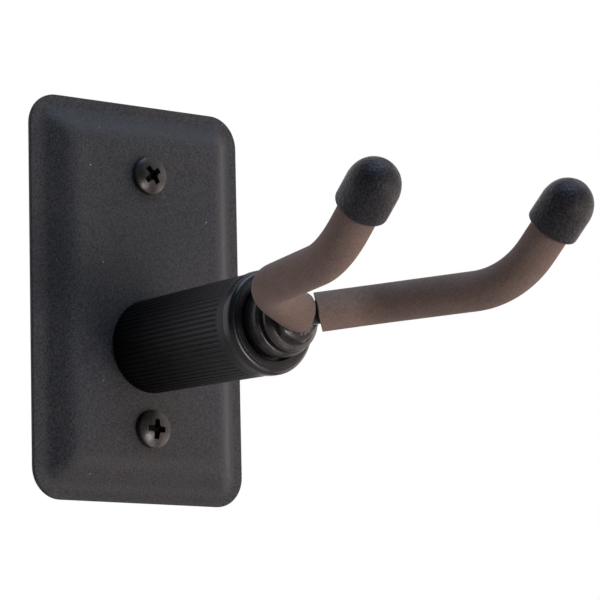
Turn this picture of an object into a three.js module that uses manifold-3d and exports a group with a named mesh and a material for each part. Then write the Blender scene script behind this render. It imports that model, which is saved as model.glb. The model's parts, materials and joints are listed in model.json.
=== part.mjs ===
// Wall guitar hanger: a stamped steel plate, a ribbed post and a two-armed fork that swivels on the post.
// Millimetres. The origin is on the wall plane, at the middle of the back of the plate's lower rim. +Z is up,
// the hanger stands out from the wall along -Y, and +X is to the right of someone facing it. "Forward" is the
// distance from the wall, so a point at forward 50 has y = -50. Heights are measured from the plate's middle.

import * as THREE from "three";
import { mergeVertices } from "three/addons/utils/BufferGeometryUtils.js";
import Module from "manifold-3d";

const manifold = await Module();
manifold.setup();

// Driving dimensions.

const plate = {
  width: 72.4,
  height: 114.3,
  cornerRadius: 9,
  sheet: 1.2,
  rimWidth: 4,
  bevelRun: 6.2,
  panForward: 6.8,
  panCornerRadius: 3,
};

// A crown point is a share of the head's radius and a share of its height.
const wallScrew = {
  spacing: 72.4,
  midHeight: -0.7,
  headRadius: 5.4,
  headHeight: 2.9,
  shankRadius: 2.6,
  length: 38,
  pointLength: 6,
  holeRadius: 2.9,
  recessLength: 5.8,
  recessWidth: 1.6,
  recessDepth: 2,
  upperTurn: 52,
  lowerTurn: 4,
  crown: [[1, 0.58], [0.8, 0.73], [0.55, 0.87], [0.28, 0.97]],
};

const post = {
  height: -13.4,
  rearRadius: 13.2,
  frontRadius: 14.1,
  ribCount: 60,
  ribDepth: 0.4,
  ribCrest: 0.5,
  ribRoot: 0.75,
  ribsEnd: 56,
  sleeveEnd: 59,
  coreRadius: 8,
  coreBore: 5.5,
  coreEnd: 62.4,
  bandLap: 0.5,
  bandStep: 0.05,
};

const collar = {
  radius: 14.4,
  faceRadius: 12.7,
  front: 63,
  recessRadius: 10.2,
};

const bushing = {
  flangeRadius: 9.4,
  flangeFront: 64.4,
  barrelRadius: 5.4,
  barrelLength: 12,
};

const pivot = {
  shankRadius: 3.9,
  runningBore: 3.98,
  plateHole: 4.3,
  shankEnd: 0.3,
  flangeRadius: 9.05,
  flangeBack: 69.4,
  flangeEdge: 1.5,
  coneTopRadius: 7.6,
  coneHeight: 0.7,
  hexAcrossFlats: 12.7,
  hexTurn: 15,
  headFront: 74,
  crownRadius: 6,
  crownHeight: 1,
};

const washers = {
  bore: 4.3,
  thrustRadius: 10.1,
  thrustThickness: 4,
  springRadius: 8.4,
  springInset: 0.25,
  rearRadius: 8,
  rearThickness: 1,
};

const lockNut = {
  acrossFlats: 12.7,
  thickness: 4.6,
  bore: 3.95,
};

// Corners of the fork's centre line. Rises are measured from the pivot axis. The rod dips where it crosses
// the bolt head and its left elbow stands higher than its right one, while the two tips end nearly level.
const fork = {
  rodRadius: 3.175,
  baseForward: 77.2,
  dipOffset: -2,
  dipRise: -0.1,
  elbowSpread: 18.3,
  elbowForward: 82.6,
  leftElbowRise: 4.9,
  rightElbowRise: 3.4,
  crookSpread: 30.2,
  crookForward: 125.5,
  leftCrookRise: 5.6,
  rightCrookRise: 3.5,
  tipSpread: 32.3,
  tipForward: 143,
  leftTipRise: 19.7,
  rightTipRise: 20.9,
  dipRadius: 10.8,
  elbowRadius: 14.6,
  crookRadius: 28.6,
  rodOverrun: 5.3,
  weldRadius: 5,
  weldWaist: 3.5,
  weldFlare: 1.2,
  weldTop: 2.5,
};

// The right sheath's inner end is a slanting cut. Its face looks along the rod, turned forward and up.
const sheath = {
  outerRadius: 5.35,
  innerRadius: 3.5,
  leftStart: -1.6,
  rightStart: 0,
  overrun: 3.2,
  slantAcross: 3,
  slantForward: 78.5,
  slantTurn: 40.5,
  slantLean: 12,
};

// The dome runs from its start to the flat tip, and bulges toward the bulge point on the way.
const cap = {
  outerRadius: 7.1,
  innerRadius: 5.7,
  mouth: -6.1,
  cavityEnd: 5.9,
  domeStart: 1.7,
  bulgeRadius: 6.6,
  bulge: 6.95,
  tip: 8.7,
  tipFlatRadius: 2.1,
  lipRadius: 1,
  cavityRound: 2.2,
};

const roundSegments = 48;
const smallSegments = 24;
const tubeSegments = 14;
const rodSteps = 50;
const sheathSteps = 30;
const clearance = 0.3;

// Materials.

const look = (color, roughness, metalness) => new THREE.MeshStandardMaterial({ color, roughness, metalness });

const powderCoat = () => look(0x3a383b, 0.75, 0.2);
const blackSteel = () => look(0x1d1c1e, 0.4, 0.7);
const plainSteel = () => look(0x8c8c8a, 0.45, 0.9);
const blackPlastic = () => look(0x1f2023, 0.55, 0);
const nylon = () => look(0x141414, 0.6, 0);
const sheathRubber = () => look(0x5c4f49, 0.85, 0);
const capRubber = () => look(0x262729, 0.7, 0);

// Booleans.

function solidOf(geometry) {
  const bare = geometry.index ? geometry.clone() : geometry;
  bare.deleteAttribute("normal");
  bare.deleteAttribute("uv");
  const merged = mergeVertices(bare, 1e-4);
  const mesh = new manifold.Mesh({
    numProp: 3,
    vertProperties: new Float32Array(merged.attributes.position.array),
    triVerts: new Uint32Array(merged.index.array),
  });
  mesh.merge();
  return new manifold.Manifold(mesh);
}

function geometryOf(solid) {
  const mesh = solid.getMesh();
  const geometry = new THREE.BufferGeometry();
  geometry.setAttribute("position", new THREE.BufferAttribute(new Float32Array(mesh.vertProperties), 3));
  geometry.setIndex(new THREE.BufferAttribute(new Uint32Array(mesh.triVerts), 1));
  geometry.computeVertexNormals();
  return geometry;
}

const join = (first, ...rest) => rest.reduce((sum, geometry) => sum.add(solidOf(geometry)), solidOf(first));

// Shapes that stand out from the wall.

// A closed profile of [radius, forward] points, turned about the forward axis through the local origin.
function turned(profile, segments = roundSegments) {
  const points = profile.map(([radius, forward]) => new THREE.Vector2(radius, forward));
  return new THREE.LatheGeometry(points, segments).rotateX(Math.PI);
}

function ring(outer, inner, back, front, segments = roundSegments) {
  return turned([[inner, back], [outer, back], [outer, front], [inner, front], [inner, back]], segments);
}

function rod(radius, back, front, segments = roundSegments) {
  return turned([[0, back], [radius, back], [radius, front], [0, front]], segments);
}

// A flat outline, drawn as seen from the front, pushed forward from "back" to "front".
function raised(shape, back, front, options = {}) {
  const settings = { depth: front - back, bevelEnabled: false, curveSegments: 8, ...options };
  return new THREE.ExtrudeGeometry(shape, settings).rotateX(Math.PI / 2).translate(0, -back, 0);
}

function roundedRectangle(width, height, radius) {
  const x = width / 2;
  const y = height / 2;
  const quarter = Math.PI / 2;
  const shape = new THREE.Shape();
  shape.absarc(x - radius, y - radius, radius, 0, quarter);
  shape.absarc(radius - x, y - radius, radius, quarter, 2 * quarter);
  shape.absarc(radius - x, radius - y, radius, 2 * quarter, 3 * quarter);
  shape.absarc(x - radius, radius - y, radius, 3 * quarter, 4 * quarter);
  return shape;
}

function hexagon(acrossFlats, turn = 0) {
  const radius = acrossFlats / Math.sqrt(3);
  const corner = (index) => {
    const angle = (index * Math.PI) / 3 - THREE.MathUtils.degToRad(turn);
    return new THREE.Vector2(radius * Math.cos(angle), radius * Math.sin(angle));
  };
  return new THREE.Shape(Array.from({ length: 6 }, (_, index) => corner(index)));
}

function circleHole(radius, segments = roundSegments) {
  const turn = (-2 * Math.PI) / segments;
  const point = (angle) => new THREE.Vector2(radius * Math.cos(angle), radius * Math.sin(angle));
  return new THREE.Path(Array.from({ length: segments }, (_, index) => point(index * turn)));
}

function named(name, geometry, material) {
  const mesh = new THREE.Mesh(geometry, material);
  mesh.name = name;
  return mesh;
}

// Back plate: a flat rim round a raised pan with sloping sides, open at the back.

// A block with sloping sides from "back" to "front", on a straight foot that reaches a little further back.
function panBlock(inset, back, front) {
  const border = 2 * (plate.rimWidth + plate.bevelRun + inset);
  const slope = plate.bevelRun / (plate.panForward - plate.sheet);
  const rise = front - back;
  const foot = plate.sheet / 2;
  const bevel = { bevelEnabled: true, bevelThickness: rise, bevelSize: rise * slope, bevelSegments: 1 };
  const outline = roundedRectangle(plate.width - border, plate.height - border, plate.panCornerRadius);
  const block = raised(outline, back - foot, back, bevel);
  const spare = new THREE.BoxGeometry(2 * plate.width, rise, 2 * plate.height);
  spare.translate(0, -back + foot + rise / 2, 0);
  return solidOf(block).subtract(solidOf(spare));
}

function backPlate() {
  const rim = raised(roundedRectangle(plate.width, plate.height, plate.cornerRadius), 0, plate.sheet);
  const outer = panBlock(0, plate.sheet, plate.panForward);
  const inner = panBlock(plate.sheet / 2, 0, plate.panForward - plate.sheet);
  let body = solidOf(rim).add(outer).subtract(inner);
  for (const side of [-1, 1]) {
    const hole = rod(wallScrew.holeRadius, 0, plate.panForward + 1, smallSegments);
    hole.translate(0, 0, wallScrew.midHeight + (side * wallScrew.spacing) / 2);
    body = body.subtract(solidOf(hole));
  }
  const pivotHole = rod(pivot.plateHole, 0, plate.panForward + 1).translate(0, 0, post.height);
  body = body.subtract(solidOf(pivotHole));
  return named("back_plate", geometryOf(body), powderCoat());
}

// Pan-head screws with a cross recess and a pointed shank.

function screw(name, side, turn) {
  const back = plate.panForward;
  const top = back + wallScrew.headHeight;
  const radius = wallScrew.headRadius;
  const end = back - wallScrew.length;
  const crown = wallScrew.crown.map(([across, up]) => [across * radius, back + up * wallScrew.headHeight]);
  const body = turned([
    [0, end],
    [wallScrew.shankRadius, end + wallScrew.pointLength],
    [wallScrew.shankRadius, back],
    [radius, back],
    ...crown,
    [0, top],
  ], smallSegments);
  let solid = solidOf(body);
  const { recessLength, recessDepth, recessWidth } = wallScrew;
  for (const quarter of [0, 1]) {
    const slot = new THREE.BoxGeometry(recessLength, 2 * recessDepth, recessWidth);
    slot.rotateY((quarter * Math.PI) / 2).translate(0, -top, 0);
    solid = solid.subtract(solidOf(slot));
  }
  const mesh = named(name, geometryOf(solid), blackSteel());
  mesh.position.z = wallScrew.midHeight + (side * wallScrew.spacing) / 2;
  mesh.rotation.y = THREE.MathUtils.degToRad(turn);
  return mesh;
}

// Post: a ribbed plastic sleeve over a steel tube, with a smooth collar at its front.

function ribbedOutline() {
  const pitch = (2 * Math.PI) / post.ribCount;
  const crest = post.rearRadius;
  const root = post.rearRadius - post.ribDepth;
  const stations = [[0, crest], [post.ribCrest, crest], [post.ribRoot, root]];
  const points = [];
  for (let rib = 0; rib < post.ribCount; rib += 1) {
    for (const [share, radius] of stations) {
      const angle = (rib + share) * pitch;
      points.push(new THREE.Vector2(radius * Math.cos(angle), radius * Math.sin(angle)));
    }
  }
  return new THREE.Shape(points);
}

const postRadiusAt = (forward) => {
  const share = (forward - plate.panForward) / (post.sleeveEnd - plate.panForward);
  return THREE.MathUtils.lerp(post.rearRadius, post.frontRadius, share);
};

function ribbedSleeve() {
  const back = plate.panForward;
  const shape = ribbedOutline();
  const geometry = raised(shape, back, post.ribsEnd);
  const position = geometry.attributes.position;
  for (let index = 0; index < position.count; index += 1) {
    const growth = postRadiusAt(-position.getY(index)) / post.rearRadius;
    position.setX(index, position.getX(index) * growth);
    position.setZ(index, position.getZ(index) * growth);
  }
  const bandBack = post.ribsEnd - post.bandLap;
  const band = turned([
    [0, bandBack],
    [postRadiusAt(post.ribsEnd) - post.bandStep, bandBack],
    [postRadiusAt(post.sleeveEnd), post.sleeveEnd],
    [0, post.sleeveEnd],
  ]);
  const bore = rod(post.coreRadius + clearance, back - 1, post.sleeveEnd + 1);
  return named("post_sleeve", geometryOf(join(geometry, band).subtract(solidOf(bore))), blackPlastic());
}

function coreTube() {
  const geometry = ring(post.coreRadius, post.coreBore, plate.panForward, post.coreEnd);
  return named("core_tube", geometry, plainSteel());
}

function frontCollar() {
  const inner = post.coreRadius + clearance;
  const back = post.sleeveEnd;
  const fillet = collar.radius - collar.faceRadius;
  const corner = [0, 1, 2, 3].map((step) => {
    const angle = (step * Math.PI) / 6;
    return [collar.faceRadius + fillet * Math.cos(angle), collar.front - fillet + fillet * Math.sin(angle)];
  });
  const profile = [
    [inner, back],
    [collar.radius, back],
    ...corner,
    [collar.recessRadius, collar.front],
    [collar.recessRadius, post.coreEnd],
    [inner, post.coreEnd],
    [inner, back],
  ];
  return named("front_collar", turned(profile), blackPlastic());
}

function frontBushing() {
  const back = post.coreEnd;
  const profile = [
    [pivot.runningBore, back - bushing.barrelLength],
    [bushing.barrelRadius, back - bushing.barrelLength],
    [bushing.barrelRadius, back],
    [bushing.flangeRadius, back],
    [bushing.flangeRadius, bushing.flangeFront],
    [pivot.runningBore, bushing.flangeFront],
    [pivot.runningBore, back - bushing.barrelLength],
  ];
  return named("front_bushing", turned(profile), nylon());
}

// Pivot: washers, the flanged hexagon bolt that carries the fork, and the nut behind the plate.

function thrustWasher() {
  const back = bushing.flangeFront;
  const front = back + washers.thrustThickness;
  return named("thrust_washer", ring(washers.thrustRadius, washers.bore, back, front), blackSteel());
}

function springWasher() {
  const back = bushing.flangeFront + washers.thrustThickness;
  const front = pivot.flangeBack;
  const outer = washers.springRadius;
  const inset = washers.springInset;
  const profile = [
    [washers.bore, back + inset],
    [outer, back],
    [outer, front - inset],
    [washers.bore, front],
    [washers.bore, back + inset],
  ];
  return named("spring_washer", turned(profile), plainSteel());
}

function pivotBolt() {
  const coneBack = pivot.flangeBack + pivot.flangeEdge;
  const lathe = turned([
    [0, pivot.shankEnd],
    [pivot.shankRadius, pivot.shankEnd],
    [pivot.shankRadius, pivot.flangeBack],
    [pivot.flangeRadius, pivot.flangeBack],
    [pivot.flangeRadius, coneBack],
    [pivot.coneTopRadius, coneBack + pivot.coneHeight],
    [0, coneBack + pivot.coneHeight],
  ]);
  const hexagonal = raised(hexagon(pivot.hexAcrossFlats, pivot.hexTurn), coneBack, pivot.headFront);
  const cornerRadius = pivot.hexAcrossFlats / Math.sqrt(3);
  const crown = turned([
    [0, coneBack],
    [cornerRadius, coneBack],
    [cornerRadius, pivot.headFront - pivot.crownHeight],
    [pivot.crownRadius, pivot.headFront],
    [0, pivot.headFront],
  ]);
  const head = solidOf(hexagonal).intersect(solidOf(crown));
  return named("pivot_bolt", geometryOf(head.add(solidOf(lathe))), blackSteel());
}

function rearWasher() {
  const front = plate.panForward - plate.sheet;
  const geometry = ring(washers.rearRadius, washers.bore, front - washers.rearThickness, front);
  return named("rear_washer", geometry, plainSteel());
}

function lockingNut() {
  const front = plate.panForward - plate.sheet - washers.rearThickness;
  const shape = hexagon(lockNut.acrossFlats);
  shape.holes.push(circleHole(lockNut.bore));
  return named("lock_nut", raised(shape, front - lockNut.thickness, front), plainSteel());
}

// Fork: one bent rod, straight between its corners and round at each bend.

class Bend extends THREE.Curve {
  constructor(corner, from, to, radius) {
    super();
    const toFrom = from.clone().sub(corner).normalize();
    const toNext = to.clone().sub(corner).normalize();
    const half = toFrom.angleTo(toNext) / 2;
    const reach = radius / Math.tan(half);
    this.start = corner.clone().addScaledVector(toFrom, reach);
    this.end = corner.clone().addScaledVector(toNext, reach);
    const bisector = toFrom.clone().add(toNext).normalize();
    this.centre = corner.clone().addScaledVector(bisector, radius / Math.sin(half));
    this.sweep = Math.PI - 2 * half;
  }

  getPoint(t, target = new THREE.Vector3()) {
    const first = this.start.clone().sub(this.centre);
    const last = this.end.clone().sub(this.centre);
    first.multiplyScalar(Math.sin((1 - t) * this.sweep) / Math.sin(this.sweep));
    last.multiplyScalar(Math.sin(t * this.sweep) / Math.sin(this.sweep));
    return target.copy(this.centre).add(first).add(last);
  }
}

class Stretch extends THREE.Curve {
  constructor(path, from, to) {
    super();
    this.path = path;
    this.from = from;
    this.to = to;
  }

  getPoint(t, target = new THREE.Vector3()) {
    return target.copy(this.path.getPointAt(THREE.MathUtils.lerp(this.from, this.to, t)));
  }
}

function forkCorners() {
  const at = (x, forward, rise) => new THREE.Vector3(x, -forward, rise);
  const leftCrook = at(-fork.crookSpread, fork.crookForward, fork.leftCrookRise);
  const rightCrook = at(fork.crookSpread, fork.crookForward, fork.rightCrookRise);
  const leftTip = at(-fork.tipSpread, fork.tipForward, fork.leftTipRise);
  const rightTip = at(fork.tipSpread, fork.tipForward, fork.rightTipRise);
  const beyond = (crook, tip) => {
    const along = tip.clone().sub(crook).normalize();
    return tip.clone().addScaledVector(along, fork.rodOverrun);
  };
  return [
    beyond(leftCrook, leftTip),
    leftCrook,
    at(-fork.elbowSpread, fork.elbowForward, fork.leftElbowRise),
    at(fork.dipOffset, fork.baseForward, fork.dipRise),
    at(fork.elbowSpread, fork.elbowForward, fork.rightElbowRise),
    rightCrook,
    beyond(rightCrook, rightTip),
  ];
}

function forkPath(corners) {
  const radii = [fork.crookRadius, fork.elbowRadius, fork.dipRadius, fork.elbowRadius, fork.crookRadius];
  const path = new THREE.CurvePath();
  let last = corners[0];
  radii.forEach((radius, index) => {
    const bend = new Bend(corners[index + 1], corners[index], corners[index + 2], radius);
    path.add(new THREE.LineCurve3(last, bend.start));
    path.add(bend);
    last = bend.end;
  });
  path.add(new THREE.LineCurve3(last, corners[corners.length - 1]));
  return path;
}

// The share of the path's length at which the rod passes a given x near its middle.
function shareAtX(path, x) {
  let low = 0.3;
  let high = 0.7;
  for (let step = 0; step < 30; step += 1) {
    const middle = (low + high) / 2;
    if (path.getPointAt(middle).x < x) low = middle;
    else high = middle;
  }
  return (low + high) / 2;
}

function tubeShape(outer, inner) {
  const turn = (2 * Math.PI) / tubeSegments;
  const point = (angle) => new THREE.Vector2(outer * Math.cos(angle), outer * Math.sin(angle));
  const shape = new THREE.Shape(Array.from({ length: tubeSegments }, (_, index) => point(index * turn)));
  if (inner) shape.holes.push(circleHole(inner, tubeSegments));
  return shape;
}

const alongPath = (shape, path, steps) => new THREE.ExtrudeGeometry(shape, { extrudePath: path, steps });

// The weld flares from the rod down to the bolt head; "room" widens it for the cut that clears it.
function weldProfile(room) {
  return [
    [fork.weldRadius + room, pivot.headFront + room],
    [fork.weldWaist + room, pivot.headFront + fork.weldFlare + room],
    [fork.weldTop + room, fork.baseForward],
    [0, fork.baseForward],
  ];
}

function weldBead() {
  return turned([[0, pivot.headFront], ...weldProfile(0)], smallSegments);
}

// Room inside the sheaths for the bolt head and the weld.
function hubRoom() {
  const headRadius = pivot.hexAcrossFlats / Math.sqrt(3) + clearance;
  const head = [
    [0, pivot.flangeBack],
    [headRadius, pivot.flangeBack],
    [headRadius, pivot.headFront + clearance],
  ];
  return turned([...head, ...weldProfile(clearance)], smallSegments);
}

function yokeRod(path) {
  const bar = alongPath(tubeShape(fork.rodRadius), path, rodSteps);
  return named("yoke_rod", geometryOf(join(bar, weldBead())), blackSteel());
}

function rubberSheath(name, path, from, to, trim) {
  const section = tubeShape(sheath.outerRadius, sheath.innerRadius);
  const tube = alongPath(section, new Stretch(path, from, to), sheathSteps);
  let body = solidOf(tube).subtract(solidOf(hubRoom()));
  if (trim) body = body.subtract(solidOf(trim));
  return named(name, geometryOf(body), sheathRubber());
}

// A block whose face lies in the slanting cut, on the bolt's side of it.
function slantBlock() {
  const turn = THREE.MathUtils.degToRad(sheath.slantTurn);
  const lean = THREE.MathUtils.degToRad(sheath.slantLean);
  const across = Math.cos(lean) * Math.cos(turn);
  const facing = new THREE.Vector3(across, -Math.cos(lean) * Math.sin(turn), Math.sin(lean));
  const size = 6 * sheath.outerRadius;
  const block = new THREE.BoxGeometry(size, size, size).translate(-size / 2, 0, 0);
  block.applyQuaternion(new THREE.Quaternion().setFromUnitVectors(new THREE.Vector3(1, 0, 0), facing));
  return block.translate(sheath.slantAcross, -sheath.slantForward, 0);
}

function endCap(name, crook, tip) {
  const dome = new THREE.QuadraticBezierCurve(
    new THREE.Vector2(cap.outerRadius, cap.domeStart),
    new THREE.Vector2(cap.bulgeRadius, cap.bulge),
    new THREE.Vector2(cap.tipFlatRadius, cap.tip),
  ).getPoints(5).map((point) => [point.x, point.y]);
  const profile = [
    [cap.innerRadius, cap.mouth],
    [cap.outerRadius - cap.lipRadius, cap.mouth],
    [cap.outerRadius, cap.mouth + cap.lipRadius],
    ...dome,
    [0, cap.tip],
    [0, cap.cavityEnd],
    [cap.innerRadius - cap.cavityRound, cap.cavityEnd],
    [cap.innerRadius, cap.cavityEnd - cap.cavityRound],
    [cap.innerRadius, cap.mouth],
  ];
  const points = profile.map(([radius, along]) => new THREE.Vector2(radius, along));
  const mesh = named(name, new THREE.LatheGeometry(points, 32), capRubber());
  const direction = tip.clone().sub(crook).normalize();
  mesh.position.copy(tip).addScaledVector(direction, -fork.rodOverrun);
  mesh.quaternion.setFromUnitVectors(new THREE.Vector3(0, 1, 0), direction);
  return mesh;
}

// Assembly.

const hanger = new THREE.Group();
hanger.position.z = (plate.height - plate.rimWidth) / 2;
hanger.add(backPlate());
hanger.add(screw("upper_screw", 1, wallScrew.upperTurn));
hanger.add(screw("lower_screw", -1, wallScrew.lowerTurn));

const postGroup = new THREE.Group();
postGroup.position.z = post.height;
postGroup.add(ribbedSleeve(), coreTube(), frontCollar(), frontBushing(), thrustWasher(), rearWasher());
hanger.add(postGroup);

const corners = forkCorners();
const path = forkPath(corners);
const sheathEnd = (fork.rodOverrun - sheath.overrun) / path.getLength();
const leftStart = shareAtX(path, sheath.leftStart);
const rightStart = shareAtX(path, sheath.rightStart);

const yoke = new THREE.Group();
yoke.position.z = post.height;
yoke.add(springWasher(), pivotBolt(), lockingNut(), yokeRod(path));
yoke.add(rubberSheath("left_sheath", path, sheathEnd, leftStart));
yoke.add(rubberSheath("right_sheath", path, rightStart, 1 - sheathEnd, slantBlock()));
yoke.add(endCap("left_cap", corners[1], corners[0]));
yoke.add(endCap("right_cap", corners[corners.length - 2], corners[corners.length - 1]));
hanger.add(yoke);

export default hanger;
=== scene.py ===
"""Looks of a wall guitar hanger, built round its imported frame.

Shapes are worked out in millimetres as (across, forward, height) points. Across is +X of the row frame,
forward is the distance from the wall along -Y, and height is along +Z. Heights are measured from the swivel
axis unless a function says otherwise.
"""

import json
import math

import bmesh
import bpy
from mathutils import Matrix, Vector

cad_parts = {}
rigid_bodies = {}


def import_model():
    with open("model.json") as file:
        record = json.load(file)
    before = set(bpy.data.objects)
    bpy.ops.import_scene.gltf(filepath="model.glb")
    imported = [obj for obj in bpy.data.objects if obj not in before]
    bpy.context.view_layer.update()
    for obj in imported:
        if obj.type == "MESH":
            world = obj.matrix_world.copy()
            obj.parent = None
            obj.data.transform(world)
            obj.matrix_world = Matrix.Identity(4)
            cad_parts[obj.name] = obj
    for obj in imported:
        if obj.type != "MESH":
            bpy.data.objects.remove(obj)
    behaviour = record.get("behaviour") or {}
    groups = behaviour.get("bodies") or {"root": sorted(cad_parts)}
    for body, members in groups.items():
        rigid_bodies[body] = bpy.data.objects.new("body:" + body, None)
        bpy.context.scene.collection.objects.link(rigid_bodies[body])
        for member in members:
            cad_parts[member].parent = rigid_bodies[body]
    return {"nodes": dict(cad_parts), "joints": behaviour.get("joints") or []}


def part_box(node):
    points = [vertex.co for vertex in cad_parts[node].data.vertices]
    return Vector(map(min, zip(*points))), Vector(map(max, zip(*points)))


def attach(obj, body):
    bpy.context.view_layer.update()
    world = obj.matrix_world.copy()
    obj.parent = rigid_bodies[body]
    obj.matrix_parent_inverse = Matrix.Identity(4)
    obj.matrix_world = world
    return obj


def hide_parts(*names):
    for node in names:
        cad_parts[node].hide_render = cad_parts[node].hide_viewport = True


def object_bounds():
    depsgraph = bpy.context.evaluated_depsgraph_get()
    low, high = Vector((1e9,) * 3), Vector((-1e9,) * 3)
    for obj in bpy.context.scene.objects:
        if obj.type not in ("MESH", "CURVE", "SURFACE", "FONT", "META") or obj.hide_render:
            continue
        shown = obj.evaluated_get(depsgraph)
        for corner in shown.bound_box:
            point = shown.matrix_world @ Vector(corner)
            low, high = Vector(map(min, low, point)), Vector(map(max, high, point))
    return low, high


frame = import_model()
cad_low, cad_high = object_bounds()

MM = 0.001
WALL_BODY = frame["joints"][0]["parent"]
YOKE_BODY = frame["joints"][0]["child"]
AXIS_HEIGHT = frame["joints"][0]["pos_m"][2] / MM


# Measures read from the frame, in millimetres.

def box_of(node):
    low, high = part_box(node)
    return low / MM, high / MM


def forward_of(node):
    """How far a node's back and front stand from the wall."""
    low, high = box_of(node)
    return -high.y, -low.y


def radius_of(node):
    low, high = box_of(node)
    return (high.x - low.x) / 2


def middle_height_of(node):
    """The height of a node's middle from the swivel axis."""
    low, high = box_of(node)
    return (low.z + high.z) / 2 - AXIS_HEIGHT


PLATE_LOW, PLATE_HIGH = box_of("back_plate")
PLATE_WIDTH = PLATE_HIGH.x - PLATE_LOW.x
PLATE_HEIGHT = PLATE_HIGH.z - PLATE_LOW.z
PLATE_MIDDLE = middle_height_of("back_plate")
PAN_FRONT = forward_of("back_plate")[1]
SLEEVE_FRONT = forward_of("post_sleeve")[1]
COLLAR_BACK, COLLAR_FRONT = forward_of("front_collar")
COLLAR_RADIUS = radius_of("front_collar")
CORE_FRONT = forward_of("core_tube")[1]
BUSH_BACK, BUSH_FRONT = forward_of("front_bushing")
BUSH_RADIUS = radius_of("front_bushing")
THRUST_BACK, THRUST_FRONT = forward_of("thrust_washer")
THRUST_RADIUS = radius_of("thrust_washer")
SPRING_BACK, SPRING_FRONT = forward_of("spring_washer")
SPRING_RADIUS = radius_of("spring_washer")
REAR_WASHER_BACK, REAR_WASHER_FRONT = forward_of("rear_washer")
REAR_WASHER_RADIUS = radius_of("rear_washer")
NUT_BACK, NUT_FRONT = forward_of("lock_nut")
BOLT_BACK, BOLT_FRONT = forward_of("pivot_bolt")
FLANGE_RADIUS = radius_of("pivot_bolt")
SCREW_BACK, SCREW_FRONT = forward_of("upper_screw")
SCREW_RADIUS = radius_of("upper_screw")

# Driving dimensions of the details: lengths in millimetres, turns and leans in degrees, and a few ratios.

SHEET = 1.2
RIM_WIDTH = 4.0
BEVEL_RUN = 6.2
PLATE_CORNER = 9.0
PAN_CORNER = 3.0
RIM_EDGE = 0.5
FOOT_FILLET = 4.6
PAN_FILLET = 7.8
PAN_MARGIN = 4.0
SHEET_EDGE = 0.2
SCREW_HOLE = 2.9
PIVOT_HOLE = 4.3

HEAD_SIDE = 1.7
HEAD_CROWN = SCREW_FRONT - PAN_FRONT - HEAD_SIDE
HEAD_FOOT = 0.25
HEAD_SHOULDER = 0.3
RECESS_REACH = 3.1
RECESS_WIDTH = 1.75
RECESS_ARM_EDGE = 0.2
RECESS_HEART = 0.55
RECESS_TAPER = 0.6
RECESS_DEPTH = 2.3
RECESS_RISE = 0.1
RECESS_SKIN = 0.05
UPPER_TURN = 52
LOWER_TURN = 4
SCREW_ROOT = 1.75
SCREW_CREST = 2.6
SCREW_PITCH = 2.3
SCREW_NECK = 9.0
SCREW_NECK_RADIUS = 2.25
SCREW_POINT = 7.0
RIDGE_SHARE = 0.22

POST_REAR_RADIUS = 13.2
POST_FRONT_RADIUS = 14.1
POST_REAR_EDGE = 0.3
POST_FRONT_EDGE = 0.35
RIB_COUNT = 60
RIB_STATIONS = 10
RIB_DEPTH = 0.4
RIB_CROWN = 0.05
RIB_END = 56.0
RIB_FADE = 0.9
POST_BORE = 8.3

COLLAR_FACE = 12.7
COLLAR_STEP = 0.35
COLLAR_SHOULDER = 1.5
COLLAR_REAR_EDGE = 0.35
COLLAR_FACE_EDGE = 0.15
COLLAR_INNER_EDGE = 0.3
COLLAR_RECESS = 10.6
COLLAR_FLOOR = 60.4
COLLAR_LIP = BUSH_RADIUS + 0.15

RUNNING_BORE = 3.98
BUSH_BARREL = 5.4
BUSH_BARREL_EDGE = 0.4
BUSH_REAR_EDGE = 0.3
BUSH_FRONT_EDGE = 0.5
WASHER_BORE = 4.3
THRUST_EDGE = 0.9
REAR_WASHER_EDGE = 0.25
SPRING_DISH = 0.25
SPRING_EDGE = 0.3

SHANK_RADIUS = 3.9
SHANK_CHAMFER = 0.6
SHANK_FILLET = 0.2
FLANGE_BACK = SPRING_FRONT
FLANGE_FRONT = FLANGE_BACK + 1.5
FLANGE_BACK_EDGE = 0.5
FLANGE_FRONT_EDGE = 0.6
CONE_TOP = 7.6
CONE_HEIGHT = 0.7
CONE_EDGE = 0.4
BOLT_FLATS = 12.7
BOLT_TURN = 15
BOLT_CHAMFER = 0.35
BOLT_EDGE = 0.22
NUT_FLATS = 12.7
NUT_BORE = 3.95
NUT_CHAMFER = 0.3
CHAMFER_SLOPE = 0.5
RUNNING_GAP = 0.05

# The fork. The corners of its centre line are (across, forward, rise above the swivel axis).

ROD_RADIUS = 3.175
ROD_CHAMFER = 0.6
BASE_FORWARD = 77.2
BASE_DEPTH = 5.0
DIP = (-2.0, BASE_FORWARD, -0.1)
LEFT_ELBOW = (-18.3, 82.6, 4.9)
RIGHT_ELBOW = (18.3, 82.6, 3.4)
LEFT_CROOK = (-30.2, 125.5, 5.6)
RIGHT_CROOK = (30.2, 125.5, 3.5)
LEFT_TIP = (-32.3, 143.0, 19.7)
RIGHT_TIP = (32.3, 143.0, 20.9)
DIP_RADIUS = 10.8
ELBOW_RADIUS = 14.6
CROOK_RADIUS = 28.6
ROD_OVERRUN = 5.3
SHEATH_OVERRUN = 3.2

SHEATH_RADIUS = 5.35
SHEATH_BORE = 3.5
SHEATH_EDGE = 0.45
LEFT_SHEATH_START = -1.6
RIGHT_SHEATH_START = 0.0
SLANT_PLACE = (3.0, 78.5, 0.0)
SLANT_TURN = 40.5
SLANT_LEAN = 12
HUB_ROOM = 0.3
WELD_RADIUS = 5.0
WELD_WAIST = 3.5
WELD_FLARE = 1.2
WELD_TOP = 2.5
WELD_RIPPLES = 18
WELD_SWELL = 0.05

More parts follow.
